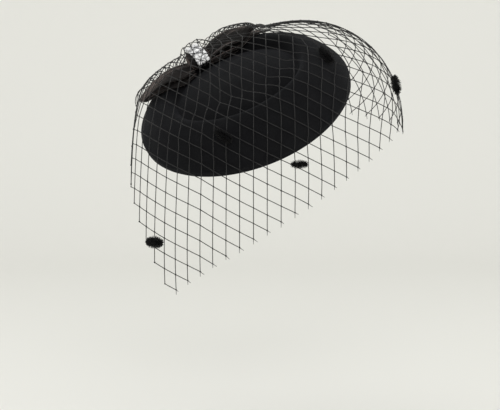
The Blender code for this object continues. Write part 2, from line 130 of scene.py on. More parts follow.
# The chenille dots
TUFT_SPREAD = 1.2                  # how far its fronds stand out past the solid dot
TUFT_SEAT = 0.0022                 # from the net's surface to the tuft's core
TUFT_CORE = 0.0009                 # the core's radius
TUFT_FRONDS = 330
FROND_WIDTH = 0.00030
FROND_THICKNESS = 0.00011
GOLDEN_ANGLE = 2.39996             # between one frond and the next round the core

# The felt's outer section from the middle out. out is a share of the ridge's radius, and on the wall
# one of the way from the ridge to the rim. height is a share of the dome's height or the ridge's.
FELT_SECTION = [
    {"on": "dome", "out": 0.00, "height": 1.000},
    {"on": "dome", "out": 0.16, "height": 0.992},
    {"on": "dome", "out": 0.34, "height": 0.960},
    {"on": "dome", "out": 0.52, "height": 0.895},
    {"on": "dome", "out": 0.68, "height": 0.800},
    {"on": "dome", "out": 0.79, "height": 0.690},
    {"on": "dome", "out": 0.850, "height": 0.660},
    {"on": "ridge", "out": 0.895, "height": 0.900},
    {"on": "ridge", "out": 0.945, "height": 0.985},
    {"on": "ridge", "out": 1.000, "height": 1.000},
    {"on": "wall", "out": 0.170, "height": 0.955},
    {"on": "wall", "out": 0.374, "height": 0.855},
    {"on": "wall", "out": 0.600, "height": 0.690},
    {"on": "wall", "out": 0.827, "height": 0.450},
    {"on": "wall", "out": 0.997, "height": 0.210},
]

# The veil's lines from gather to hem, as in the part's source
VEIL_LINES = [
    {"azimuth": -150, "reach": 0.98, "shove": 0.50, "crown": 0.20, "shoulder": 0.10, "hem": -0.95},
    {"azimuth": -115, "reach": 1.03, "shove": 0.60, "crown": 0.28, "shoulder": 0.15, "hem": -0.98},
    {"azimuth": -85, "reach": 1.00, "shove": 0.50, "crown": 0.46, "shoulder": 0.10, "hem": -1.00},
    {"azimuth": -72, "reach": 0.98, "shove": 0.46, "crown": 0.54, "shoulder": 0.10, "hem": -1.00},
    {"azimuth": -49, "reach": 0.94, "shove": 0.44, "crown": 0.64, "shoulder": 0.12, "hem": -0.81},
    {"azimuth": -32, "reach": 0.92, "shove": 0.43, "crown": 0.70, "shoulder": 0.18, "hem": -0.69},
    {"azimuth": -17, "reach": 0.91, "shove": 0.43, "crown": 0.75, "shoulder": 0.26, "hem": -0.56},
    {"azimuth": 1, "reach": 0.92, "shove": 0.44, "crown": 0.79, "shoulder": 0.37, "hem": -0.48},
    {"azimuth": 24, "reach": 0.96, "shove": 0.47, "crown": 0.83, "shoulder": 0.48, "hem": -0.37},
    {"azimuth": 45, "reach": 1.02, "shove": 0.50, "crown": 0.86, "shoulder": 0.55, "hem": -0.19},
    {"azimuth": 65, "reach": 1.04, "shove": 0.50, "crown": 0.86, "shoulder": 0.56, "hem": -0.10},
    {"azimuth": 95, "reach": 0.98, "shove": 0.50, "crown": 0.82, "shoulder": 0.48, "hem": -0.04},
    {"azimuth": 125, "reach": 0.88, "shove": 0.50, "crown": 0.70, "shoulder": 0.36, "hem": 0.02},
]

# The camera, fitted to the rim in the photograph
CAMERA_AZIMUTH = math.radians(-25)
CAMERA_ELEVATION = math.radians(3)
CAMERA_PLACE = Vector((-0.43177, -0.93291, -0.01798))
CAMERA_LENS = 100
CAMERA_SENSOR = 36
FLOOR_LEVEL = -0.235


def camera_axes():
    """The camera's right, its up and the way back from what it looks at."""
    back = Vector((math.sin(CAMERA_AZIMUTH) * math.cos(CAMERA_ELEVATION),
                   -math.cos(CAMERA_AZIMUTH) * math.cos(CAMERA_ELEVATION),
                   math.sin(CAMERA_ELEVATION)))
    right = Vector((math.cos(CAMERA_AZIMUTH), math.sin(CAMERA_AZIMUTH), 0.0))
    return right, back.cross(right), back


def smooth(rows, key, column, at):
    """Reads a table's column at a place between its rows, with a smooth curve through them."""
    places = [row[key] for row in rows]
    values = [row[column] for row in rows]
    slopes = []
    for k in range(len(rows)):
        before, after = max(k - 1, 0), min(k + 1, len(rows) - 1)
        slopes.append((values[after] - values[before]) / (places[after] - places[before]))
    k = 0
    while k < len(rows) - 2 and at > places[k + 1]:
        k += 1
    step = places[k + 1] - places[k]
    u = min(max((at - places[k]) / step, 0.0), 1.0)
    return ((1 + 2 * u) * (1 - u) ** 2 * values[k] + u * (1 - u) ** 2 * step * slopes[k]
            + u * u * (3 - 2 * u) * values[k + 1] - u * u * (1 - u) * step * slopes[k + 1])


# Materials

class Finish:
    """A material's node tree, with short calls for what the finishes share."""

    def __init__(self, name, colour, roughness):
        self.material = bpy.data.materials.new(name)
        self.material.use_nodes = True
        self.tree = self.material.node_tree
        self.shader = self.tree.nodes["Principled BSDF"]
        self.set("Base Color", (*colour, 1.0))
        self.set("Roughness", roughness)
        self.place = self.tree.nodes.new("ShaderNodeTexCoord").outputs["Object"]

    def set(self, socket, value):
        self.shader.inputs[socket].default_value = value

    def link(self, source, target):
        self.tree.links.new(source, target)

    def noise(self, scale, detail=2.0, stretch=(1, 1, 1)):
        mapping = self.tree.nodes.new("ShaderNodeMapping")
        mapping.inputs["Scale"].default_value = stretch
        texture = self.tree.nodes.new("ShaderNodeTexNoise")
        texture.inputs["Scale"].default_value = scale
        texture.inputs["Detail"].default_value = detail
        self.link(self.place, mapping.inputs["Vector"])
        self.link(mapping.outputs["Vector"], texture.inputs["Vector"])
        return texture.outputs["Fac"]

    def ramp(self, factor, low, high, start=0.35, end=0.65):
        """Colours between low and high, or grey levels where these are numbers."""
        ramp = self.tree.nodes.new("ShaderNodeValToRGB")
        ramp.color_ramp.elements[0].position = start
        ramp.color_ramp.elements[1].position = end
        for element, value in zip(ramp.color_ramp.elements, (low, high)):
            element.color = (*value, 1.0) if isinstance(value, tuple) else (value, value, value, 1.0)
        self.link(factor, ramp.inputs["Fac"])
        return ramp.outputs["Color"]

    def colour(self, factor, low, high, start=0.35, end=0.65):
        self.link(self.ramp(factor, low, high, start, end), self.shader.inputs["Base Color"])

    def roughness(self, factor, low, high):
        self.link(self.ramp(factor, low, high), self.shader.inputs["Roughness"])

    def bump(self, *layers):
        """Layers of a height and how far it stands up, in metres, each over the last."""
        normal = None
        for height, distance in layers:
            bump = self.tree.nodes.new("ShaderNodeBump")
            bump.inputs["Strength"].default_value = 1.0
            bump.inputs["Distance"].default_value = distance
            self.link(height, bump.inputs["Height"])
            if normal is not None:
                self.link(normal, bump.inputs["Normal"])
            normal = bump.outputs["Normal"]
        self.link(normal, self.shader.inputs["Normal"])

    def sheen(self, weight, roughness, tint):
        self.set("Sheen Weight", weight)
        self.set("Sheen Roughness", roughness)
        self.set("Sheen Tint", (*tint, 1.0))


def felt_finish():
    """Wool felt: a matt ground, short crossing fibres and the faint cloud of blocked wool."""
    finish = Finish("wool_felt", (0.011, 0.011, 0.012), 0.92)
    fibres = finish.noise(2600, 6.0, (1.0, 0.35, 0.6))
    crossed = finish.noise(2100, 5.0, (0.4, 1.0, 0.8))
    cloud = finish.noise(55, 3.0)
    finish.colour(fibres, (0.0014, 0.0014, 0.0018), (0.0046, 0.0047, 0.0056))
    finish.roughness(cloud, 0.86, 0.97)
    finish.bump((cloud, 0.0004), (crossed, 0.00022), (fibres, 0.00022))
    finish.set("Specular IOR Level", 0.12)
    finish.sheen(0.03, 0.50, (0.70, 0.74, 0.85))
    return finish.material


def velvet_finish():
    """Velvet ribbon: a deep black pile with a warm rim of light where it turns away."""
    finish = Finish("velvet_pile", (0.004, 0.0035, 0.0035), 0.75)
    pile = finish.noise(3800, 4.0)
    nap = finish.noise(120, 3.0, (1.0, 1.0, 0.5))
    finish.colour(nap, (0.0022, 0.0020, 0.0020), (0.0085, 0.0072, 0.0068))
    finish.roughness(nap, 0.66, 0.85)
    finish.bump((nap, 0.0005), (pile, 0.00015))
    finish.set("Specular IOR Level", 0.2)
    finish.sheen(0.50, 0.30, (0.62, 0.50, 0.46))
    return finish.material


def thread_finish():
    """The net's thread: twisted, stiffened and slightly shiny."""
    finish = Finish("net_thread", (0.014, 0.014, 0.014), 0.48)
    twist = finish.noise(3000, 2.0, (1.0, 1.0, 2.5))
    finish.colour(twist, (0.0045, 0.0045, 0.0045), (0.0120, 0.0115, 0.0115))
    finish.bump((twist, 0.00006))
    finish.set("Specular IOR Level", 0.3)
    finish.sheen(0.06, 0.35, (0.8, 0.8, 0.85))
    return finish.material


def chenille_finish():
    """Chenille fronds, black with a slight shine along each fibre."""
    finish = Finish("chenille_tuft", (0.004, 0.004, 0.004), 0.42)
    fibre = finish.noise(2500, 3.0, (1.0, 1.0, 0.4))
    finish.colour(fibre, (0.0008, 0.0008, 0.0009), (0.0032, 0.0032, 0.0036))
    finish.set("Specular IOR Level", 0.2)
    finish.roughness(fibre, 0.34, 0.60)
    finish.bump((fibre, 0.0001))
    return finish.material


def crystal_painted_glint_finish():
    """A foil-backed stone that shines back nearly all the light: its near-white diffuse colour, faintly
    mottled greyer and brighter, is a painted glint in place of that reflection.
    """
    # Painted glint: a diffuse near-white stands in for the light that the foil reflects
    finish = Finish("crystal_stone_painted_glint", (0.93, 0.94, 0.96), 0.06)
    cloud = finish.noise(900, 1.0)
    # Painted glint: faint greyer and brighter patches in place of facets catching the light
    finish.colour(cloud, (0.90, 0.91, 0.93), (0.98, 0.98, 0.98))
    finish.roughness(cloud, 0.03, 0.12)
    finish.set("Coat Weight", 1.0)
    finish.set("Coat Roughness", 0.02)
    return finish.material


def metal_finish():
    """The bright plated band and claws that hold the stones."""
    finish = Finish("plated_setting", (0.70, 0.70, 0.71), 0.2)
    wear = finish.noise(700, 3.0)
    finish.colour(wear, (0.52, 0.52, 0.53), (0.80, 0.80, 0.81))
    finish.roughness(wear, 0.14, 0.34)
    finish.bump((wear, 0.00004))
    finish.set("Metallic", 1.0)
    return finish.material


def comb_finish():
    """Moulded black plastic with a faint grain."""
    finish = Finish("comb_plastic", (0.012, 0.012, 0.012), 0.38)
    grain = finish.noise(900, 3.0)
    finish.colour(grain, (0.010, 0.010, 0.010), (0.020, 0.020, 0.020))
    finish.roughness(grain, 0.30, 0.48)
    finish.bump((grain, 0.00005))
    finish.set("Specular IOR Level", 0.2)
    return finish.material


def stitch_finish():
    """Black sewing thread."""
    finish = Finish("sewing_thread", (0.010, 0.010, 0.010), 0.6)
    twist = finish.noise(4000, 2.0)
    finish.colour(twist, (0.006, 0.006, 0.006), (0.018, 0.018, 0.018))
    finish.bump((twist, 0.00005))
    return finish.material


# Meshes

def hat_matrix():
    """The turn that leans the level hat over towards TILT_AZIMUTH."""
    axis = Vector((-math.sin(TILT_AZIMUTH), math.cos(TILT_AZIMUTH), 0.0))
    return Matrix.Rotation(TILT, 4, axis)


def finish_piece(name, bm, finish, replaces=()):
    """Turns a bmesh into a smooth piece of the hat that rides on its body."""
    mesh = bpy.data.meshes.new(name)
    bm.to_mesh(mesh)
    bm.free()
    mesh.materials.append(finish)
    mesh.shade_smooth()
    piece = bpy.data.objects.new(name, mesh)
    bpy.context.scene.collection.objects.link(piece)
    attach(piece, "root")
    if replaces:
        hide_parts(*replaces)
    return piece


def add_modifier(piece, kind, **values):
    made = piece.modifiers.new(kind.lower(), kind)
    for key, value in values.items():
        setattr(made, key, value)


def skin(bm, rows, closed=False):
    """A sheet of faces through rows of points that have the same count."""
    verts = [[bm.verts.new(point) for point in row] for row in rows]
    for first, second in zip(verts, verts[1:]):
        for k in range(len(first) - (0 if closed else 1)):
            n = (k + 1) % len(first)
            bm.faces.new((first[k], first[n], second[n], second[k]))
    return verts


def tube(bm, points, radius, sides=5, taper=1.0):
    """A closed tube through points, whose radius shrinks to taper times at its end."""
    rings = []
    side = None
    for k, point in enumerate(points):
        ahead = points[min(k + 1, len(points) - 1)] - points[max(k - 1, 0)]
        ahead.normalize()
        if side is None:
            side = ahead.orthogonal()
        side = (side - ahead * side.dot(ahead)).normalized()
        other = ahead.cross(side)
        size = radius * (1 + (taper - 1) * k / max(len(points) - 1, 1))
        ring = []
        for n in range(sides):
            angle = 2 * math.pi * n / sides
            ring.append(bm.verts.new(point + (side * math.cos(angle) + other * math.sin(angle)) * size))
        rings.append(ring)
    for first, second in zip(rings, rings[1:]):
        for k in range(sides):
            n = (k + 1) % sides
            bm.faces.new((first[k], first[n], second[n], second[k]))
    bm.faces.new(rings[0][::-1])
    bm.faces.new(rings[-1])


# The felt

def lean_factor(radius, azimuth):
    inner = min(radius / CREST_RADIUS, 1.0)
    outer = min(max((RIM_RADIUS - radius) / (RIM_RADIUS - CREST_RADIUS), 0.0), 1.0)
    return 1.0 + LEAN * inner * outer ** 0.5 * math.cos(azimuth - LEAN_AZIMUTH)


def felt_points():
    """The outer section as radius and height, out to the rim's upright edge."""
    points = []
    for row in FELT_SECTION:
        top = DOME_HEIGHT if row["on"] == "dome" else CREST_HEIGHT
        radius = CREST_RADIUS * row["out"]
        if row["on"] == "wall":
            radius = CREST_RADIUS + (RIM_RADIUS - CREST_RADIUS) * row["out"]
        points.append((radius, row["height"] * top))
    points.append((RIM_RADIUS, FELT))
    return points


def felt_height(x, y):
    """Height of the felt's outer face over a place in the rim's plane."""
    radius = math.hypot(x, y)
    points = felt_points()
    if radius >= points[-1][0]:
        return 0.0
    for (r0, h0), (r1, h1) in zip(points, points[1:]):
        if r0 <= radius <= r1 and r1 > r0:
            height = h0 + (h1 - h0) * (radius - r0) / (r1 - r0)
            return height * lean_factor(radius, math.atan2(y, x))
    return 0.0


def felt_line():
    """The closed section of the felt: over the outside, round the rim's cut edge, back inside."""
    table = [{"place": k, "radius": r, "height": h} for k, (r, h) in enumerate(felt_points())]
    outer = []
    fine = 5
    for k in range((len(table) - 1) * fine + 1):
        at = k / fine
        outer.append(Vector((smooth(table, "place", "radius", at), smooth(table, "place", "height", at))))
    inner = []
    for k, point in enumerate(outer):
        ahead = outer[min(k + 1, len(outer) - 1)] - outer[max(k - 1, 0)]
        normal = Vector((-ahead.y, ahead.x)).normalized()
        inner.append(point - normal * FELT)
    half = FELT / 2
    turn = []
    for k in range(1, 6):
        angle = -math.pi * k / 6
        turn.append(Vector((RIM_RADIUS - half + half * math.cos(angle), half + half * math.sin(angle))))
    last = [point for point in inner if point.y > half and point.x < RIM_RADIUS - FELT]
    return outer, turn, last[::-1]


def build_felt(place):
    """One blocked felt, with the slight unevenness of wool pulled over a block."""
    steps = 160
    outer, turn, inner = felt_line()
    line = outer[1:] + turn + [Vector((RIM_RADIUS - FELT, FELT / 2))] + inner[:-1]
    bm = bmesh.new()
    rows = []
    for point in line:
        row = []
        for k in range(steps):
            azimuth = 2 * math.pi * k / steps
            level = point.y * lean_factor(point.x, azimuth)
            spot = Vector((point.x * math.cos(azimuth), point.x * math.sin(azimuth), level))
            spot.z += 0.00025 * noise.noise(spot * 45) * min(1.0, (RIM_RADIUS - point.x) / 0.01)
            row.append(place @ spot)
        rows.append(row)
    verts = skin(bm, rows, closed=True)
    for ring, point in ((verts[0], outer[0]), (verts[-1], inner[-1])):
        tip = bm.verts.new(place @ Vector((0.0, 0.0, point.y)))
        for k in range(steps):
            bm.faces.new((ring[k], ring[(k + 1) % steps], tip))
    bmesh.ops.recalc_face_normals(bm, faces=bm.faces)
    return finish_piece("felt_body", bm, felt_finish(), ["felt_crown"])


# The bow

def seat(x, y, width):
    """How high a ribbon's underside lies at a place: it bridges dips with DRAPE's slope."""
    highest = 0.0
    for over in range(9):
        for along in range(-3, 4):
            spot_y = BOW_CENTRE[1] + width * (over / 8 - 0.5)
            spot_x = x + width * along / 6
            away = math.hypot(spot_x - x, spot_y - y)
            highest = max(highest, felt_height(spot_x, spot_y) - DRAPE * away)
    return highest + SEAT_LIFT


def rounded(out):
    """What is left of a ribbon's width where the corners of its fold round off."""
    late = max(0.0, (out - ROUND_FROM) / (1 - ROUND_FROM))
    return 1 - ROUND_OFF * late * late


def pleat_height(fold, across, out):
    """How high one set of gathers stands at a place on the ribbon."""
    swing = fold["waves"] * across + fold["turn"] * out
    return fold["depth"] * math.cos(2 * math.pi * swing) * math.exp(-out / fold["reach"])


def loop_rows(side, length, base, folds):
    """A ribbon loop: out along the felt, round the end and back over the top."""
    start = KNOT_LENGTH / 2 + GAP
    steps, widths = 56, 14
    rows = []
    for k in range(steps + 1):
        share = k / steps
        out = (1 - math.cos(2 * math.pi * share)) / 2
        over = (1 - math.cos(math.pi * share)) / 2
        x = BOW_CENTRE[0] + side * (start + (length - start) * out)
        widening = 0.62 + 0.38 * math.sin(math.pi / 2 * min(1.0, 1.6 * out))
        spread = LOOP_WIDTH * widening * rounded(out)
        gape = LOOP_OPEN * (0.42 + 0.58 * math.sin(math.pi / 2 * min(1.0, 1.5 * out)))
        row = []
        for n in range(widths + 1):
            across = n / widths - 0.5
            y = BOW_CENTRE[1] + spread * across
            low = seat(x, y, LOOP_WIDTH) + base + RIBBON / 2
            pleat = sum(pleat_height(fold, across, out) for fold in folds)
            row.append(Vector((x, y, low + gape * over * (1 - 0.35 * across) + pleat * over)))
        rows.append(row)
    return rows


# The gathers that run out of the knot into each loop: how deep, how many across the ribbon, how far
# they swing and what share of the loop they fade over
LEFT_FOLDS = [
    {"depth": 0.0006, "waves": 3.0, "turn": 0.15, "reach": 0.22},
    {"depth": 0.0004, "waves": 1.3, "turn": 0.45, "reach": 0.90},
]
RIGHT_FOLDS = [
    {"depth": 0.0009, "waves": 3.2, "turn": 0.10, "reach": 0.45},
    {"depth": 0.0008, "waves": 1.6, "turn": 0.55, "reach": 1.10},
]


def build_ribbon(name, rows, place, slot_node):
    bm = bmesh.new()
    skin(bm, [[place @ point for point in row] for row in rows])
    bmesh.ops.recalc_face_normals(bm, faces=bm.faces)
    piece = finish_piece(name, bm, bpy.data.materials["velvet_pile"], [slot_node])
    add_modifier(piece, "SOLIDIFY", thickness=RIBBON, offset=0.0)
    add_modifier(piece, "SUBSURF", levels=1, render_levels=1)
    return piece


def build_loops(place):
    layer = RIBBON + 1.5 * GAP
    for name, node, side, length, base, folds in (
            ("loop_left", "bow_loop_left", -1, LEFT_LENGTH, 0.0, LEFT_FOLDS),
            ("loop_right", "bow_loop_right", 1, RIGHT_LENGTH, layer, RIGHT_FOLDS)):
        rows = loop_rows(side, length, base, folds)
        build_ribbon(name, rows, place, node)


def build_tail(place):
    """The second fold of ribbon, whose notched tip shows past the right loop."""
    start = KNOT_LENGTH / 2 + GAP
    steps, widths = 30, 12
    rows = []
    for k in range(steps + 1):
        share = k / steps
        x = BOW_CENTRE[0] + start + (TAIL_LENGTH - start) * share
        shift = 0.10 * TAIL_WIDTH * share
        spread = TAIL_WIDTH * (0.7 + 0.3 * share)
        row = []
        for n in range(widths + 1):
            across = n / widths - 0.5
            back = 0.18 * TAIL_WIDTH * (1 - 2 * abs(across)) * max(0.0, share - 0.8) / 0.2
            y = BOW_CENTRE[1] + shift + spread * across
            row.append(Vector((x - back, y, seat(x, y, LOOP_WIDTH) + RIBBON / 2)))
        rows.append(row)
    build_ribbon("tail_fold", rows, place, "bow_tail")


def knot_level():
    """The knot's middle, with its round underside on the highest felt below it."""
    places = [BOW_CENTRE[1] + KNOT_WIDTH * share for share in (-0.4, -0.2, 0.0, 0.2, 0.4)]
    x = BOW_CENTRE[0]
    felt = max(felt_height(x + side * KNOT_LENGTH / 2, y) for y in places for side in (-1, 0, 1))
    return felt + SEAT_LIFT + KNOT_HEIGHT / 2


def knot_round(scale_width, scale_height, angle):
    """A place on the knot's rounded section, by its angle from the hat's level."""
    power = 0.75
    c, s = math.cos(angle), math.sin(angle)
    return (scale_width / 2 * math.copysign(abs(c) ** power, c),
            scale_height / 2 * math.copysign(abs(s) ** power, s))


def build_knot(place):
    """The velvet wrapped round the bow's middle, with creases round it."""
    steps, lengths = 64, 24
    rows = []
    for k in range(lengths + 1):
        along = k / lengths - 0.5
        swell = 1.0 - 0.20 * (2 * abs(along)) ** 4
        row = []
        for n in range(steps):
            angle = 2 * math.pi * n / steps
            crease = 1.0 - 0.022 * (1 + math.cos(2 * math.pi * (4 * along + 0.15 * math.sin(2 * angle))))
            y, z = knot_round(KNOT_WIDTH * swell * crease, KNOT_HEIGHT * swell * crease, angle)
            row.append(place @ Vector((KNOT_LENGTH * along, y, z)))
        rows.append(row)
    bm = bmesh.new()
    verts = skin(bm, rows, closed=True)
    bm.faces.new(verts[0][::-1])
    bm.faces.new(verts[-1])
    bmesh.ops.recalc_face_normals(bm, faces=bm.faces)
    finish_piece("knot_wrap", bm, bpy.data.materials["velvet_pile"], ["bow_knot"])


def build_settings(place):
    """Four thin metal claws round each stone."""
    first, last = math.radians(8), math.radians(172)
    bm = bmesh.new()
    for row in range(STONE_ROWS):
        angle = first + (last - first) * row / (STONE_ROWS - 1)
        y, z = knot_round(KNOT_WIDTH, KNOT_HEIGHT, angle)
        ahead = knot_round(KNOT_WIDTH, KNOT_HEIGHT, angle + 0.02)
        along = Vector((0.0, ahead[0] - y, ahead[1] - z)).normalized()
        out = Vector((0.0, along.z, -along.y))
        foot = Vector((0.0, y, z)) + out * (BAND_THICKNESS + 2 * GAP)
        turn = Matrix((Vector((1, 0, 0)), along, out)).transposed().to_4x4()
        for column in range(STONE_COLUMNS):
            x = (column - (STONE_COLUMNS - 1) / 2) * STONE * 1.10
            spot = place @ Matrix.Translation(foot + Vector((x, 0, 0))) @ turn
            for claw in range(4):
                angle_out = math.pi / 4 + math.pi / 2 * claw
                side = Vector((math.cos(angle_out), math.sin(angle_out), 0.0))
                points = [side * STONE * 0.40 + Vector((0, 0, -0.0001)),
                          side * STONE * 0.535 + Vector((0, 0, 0.30 * STONE)),
                          side * STONE * 0.50 + Vector((0, 0, 0.42 * STONE))]
                tube(bm, [spot @ point for point in points], 0.00013, 5)
    finish_piece("stone_claws", bm, bpy.data.materials["plated_setting"])


# The veil

def solid_points():
    """The corners and face middles of what the net is draped over."""
    points = []
    for name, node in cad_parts.items():
        if name.startswith(("felt", "bow", "rhinestone", "hair")):
            points += [vertex.co.copy() for vertex in node.data.vertices]
            points += [face.center.copy() for face in node.data.polygons]
    return np.array(points)


def hold_off(point, clearance, solids):
    """Moves a place on the net outwards until it clears the hat and the bow."""
    out = np.array(point.normalized())
    along = solids @ out
    beside = (solids ** 2).sum(axis=1) - along ** 2
    need = float((along + clearance - beside / (2 * VEIL_BEND)).max())
    return point.normalized() * max(need, point.length)


def gather_point(along):
    """Where each line of the veil is sewn down: on the felt's wall, behind the bow."""
    azimuth = GATHER_START + (GATHER_END - GATHER_START) * along
    x, y = GATHER_RADIUS * math.cos(azimuth), GATHER_RADIUS * math.sin(azimuth)
    return hat_matrix() @ Vector((x, y, felt_height(x, y) + SEWN_LIFT))


def veil_line(start, degrees):
    """One line of the veil from the gather to below the hem, as closely spaced points."""
    azimuth = math.radians(degrees)
    reach = smooth(VEIL_LINES, "azimuth", "reach", degrees) * VEIL_REACH
    foot = Vector((VEIL_CENTRE[0] + reach * math.sin(azimuth),
                   VEIL_CENTRE[1] - reach * VEIL_DEEP * math.cos(azimuth), 0.0))
    second = start.lerp(foot, smooth(VEIL_LINES, "azimuth", "shove", degrees))
    second.z = smooth(VEIL_LINES, "azimuth", "crown", degrees) * VEIL_REACH
    third = Vector((foot.x, foot.y, smooth(VEIL_LINES, "azimuth", "shoulder", degrees) * VEIL_REACH))
    last = Vector((foot.x, foot.y, smooth(VEIL_LINES, "azimuth", "hem", degrees) * VEIL_DROP))
    points = []
    for k in range(LINE_STEPS + 1):
        t = k / LINE_STEPS
        points.append(start * (1 - t) ** 3 + second * 3 * t * (1 - t) ** 2
                      + third * 3 * t * t * (1 - t) + last * t ** 3)
    points.append(last - Vector((0, 0, VEIL_DROP)))
    return points


def walk(points, distance):
    for a, b in zip(points, points[1:]):
        step = (b - a).length
        if distance <= step:
            return a + (b - a) * (distance / step)
        distance -= step
    return points[-1]


def hem_azimuths():
    """Directions round the hem, each with the share of the hem's length where it lies."""
    spots = []
    for k in range(241):
        degrees = math.degrees(HEM_START + (HEM_END - HEM_START) * k / 240)
        spots.append((degrees, veil_line(gather_point(k / 240), degrees)[LINE_STEPS]))
    run = [0.0]
    for (_, a), (_, b) in zip(spots, spots[1:]):
        run.append(run[-1] + (b - a).length)
    return np.array(run) / run[-1], np.array([degrees for degrees, _ in spots])


class Net:
    """The veil's surface on a grid of shares along the hem and from the gather to the hem."""

    def __init__(self):
        solids = solid_points()
        run, azimuths = hem_azimuths()
        self.grid = np.empty((GRID_ALONG, GRID_ACROSS, 3))
        for i in range(GRID_ALONG):
            along = i / (GRID_ALONG - 1)
            azimuth = float(np.interp(along, run, azimuths))
            start = gather_point(along)
            own = veil_line(start, azimuth)[:LINE_STEPS + 1]
            length = sum((b - a).length for a, b in zip(own, own[1:]))
            for j in range(GRID_ACROSS):
                across = j / (GRID_ACROSS - 1)
                back = 1 - across
                swing = math.degrees(VEIL_SHEAR) * (back - SHEAR_EASE * back * back)
                share = min(across / CLEAR_BY, 1.0)
                clearance = SEWN_LIFT + (VEIL_CLEARANCE - SEWN_LIFT) * share
                spot = walk(veil_line(start, azimuth - swing), across * length)
                self.grid[i, j] = hold_off(spot, clearance, solids)

    def at(self, along, across):
        """A point of the surface, carried straight on past its edges."""
        x, y = along * (GRID_ALONG - 1), across * (GRID_ACROSS - 1)
        i = int(min(max(math.floor(x), 0), GRID_ALONG - 2))
        j = int(min(max(math.floor(y), 0), GRID_ACROSS - 2))
        x, y = x - i, y - j
        near, far = self.grid[i], self.grid[i + 1]
        return (1 - x) * ((1 - y) * near[j] + y * near[j + 1]) + x * ((1 - y) * far[j] + y * far[j + 1])

    def slopes(self, place):
        """How a point moves with each of its two shares."""
        along, across = place
        step = SLOPE_STEP
        return np.array([self.at(along + step, across) - self.at(along - step, across),
                         self.at(along, across + step) - self.at(along, across - step)]) / (2 * step)

    def settle(self, place, conditions):
        """Walks over the surface from a place to where each condition's value is zero."""
        place = np.array(place, float)
        for _ in range(SETTLE_ROUNDS):
            point = self.at(*place)
            values, ways = zip(*(condition(point) for condition in conditions))
            if max(abs(value) for value in values) < SETTLE_CLOSE:
                return place, True
            turns = np.array(ways) @ self.slopes(place).T
            step = np.linalg.lstsq(turns, -np.array(values), rcond=1e-3)[0]
            place += step * min(1.0, SETTLE_STEP / max(float(np.abs(step).max()), 1e-9))
        return place, False


def unit(vector):
    return vector / np.linalg.norm(vector)


def a_side_from(knot):
    """The condition that a point lies one side of a diamond away from a knot."""
    def condition(point):
        away = float(np.linalg.norm(point - knot))
        return away - MESH_SIDE, (point - knot) / away
    return condition


def on_plane(spot, way):
    """The condition that a point lies on a plane."""
    def condition(point):
        return float((point - spot) @ way), way
    return condition


def steered_thread(net, way, sense):
    """One thread's knots: straight in the picture where the net faces it, else along the cloth."""
    camera = np.array(CAMERA_PLACE)
    right, up, _ = (np.array(axis) for axis in camera_axes())
    place = np.array(FIRST_KNOT)
    ahead = unit(right * way[0] - up * way[1]) * sense
    plane = unit(np.cross(net.at(*place) - camera, ahead))
    places = []
    for _ in range(KNOT_REACH):
        point = net.at(*place)
        slopes = net.slopes(place)
        out = unit(np.cross(*slopes))
        facing = abs(out @ unit(point - camera)) > FACING
        if not places and facing:
            turned = np.cross(out, plane)
            ahead = turned if turned @ ahead > 0 else -turned
        ahead = unit(ahead - out * (ahead @ out))
        guess = place + np.linalg.lstsq(slopes.T, ahead * MESH_SIDE, rcond=None)[0]
        keep = on_plane(camera, plane) if facing else on_plane(point, np.cross(out, ahead))
        place, _ = net.settle(guess, [a_side_from(point), keep])
        ahead = net.at(*place) - point
        places.append(place)
    return places


def even_knots(net):
    """Knots that are all one side apart, worked out from two crossing threads."""
    knots = {(0, 0): np.array(FIRST_KNOT)}
    for sense in (1, -1):
        for k, place in enumerate(steered_thread(net, DOWN_WAY, sense), 1):
            knots[0, sense * k] = place
        for k, place in enumerate(steered_thread(net, SIDE_WAY, sense), 1):
            knots[sense * k, 0] = place
    for side in (1, -1):
        for down in (1, -1):
            for total in range(2, 2 * KNOT_REACH + 1):
                for i in range(max(1, total - KNOT_REACH), min(total, KNOT_REACH + 1)):
                    add_knot(net, knots, side * i, down * (total - i), side, down)
    return knots


def add_knot(net, knots, i, j, side, down):
    """Adds the knot that closes a diamond, if its three other knots are on or near the veil."""
    keys = ((i - side, j), (i, j - down), (i - side, j - down))
    first, second, opposite = (knots.get(key) for key in keys)
    if first is None or second is None or opposite is None:
        return
    if not all(-PAST_SIDES < place[0] < 1 + PAST_SIDES and -PAST_SEAM < place[1] < 1 + PAST_HEM
               for place in (first, second)):
        return
    place, settled = net.settle(first + second - opposite,
                                [a_side_from(net.at(*first)), a_side_from(net.at(*second))])
    if settled and np.linalg.norm(net.at(*place) - net.at(*opposite)) > MIN_DIAMOND:
        knots[i, j] = place


def is_even(net, knots, i, j):
    """Whether the four threads at a knot spread well, so that its diamonds are open."""
    ends = [knots.get(key) for key in ((i + 1, j), (i, j + 1), (i - 1, j), (i, j - 1))]
    if any(end is None for end in ends):
        return False
    here = net.at(*knots[i, j])
    ways = [unit(net.at(*end) - here) for end in ends]
    return all(abs(a @ b) <= math.cos(MIN_ANGLE) for a, b in zip(ways, ways[1:] + ways[:1]))


def beside(column, row):
    """The four knots that a thread runs to from a knot."""
    return [(column + 1, row + 1), (column - 1, row - 1), (column + 1, row - 1), (column - 1, row + 1)]


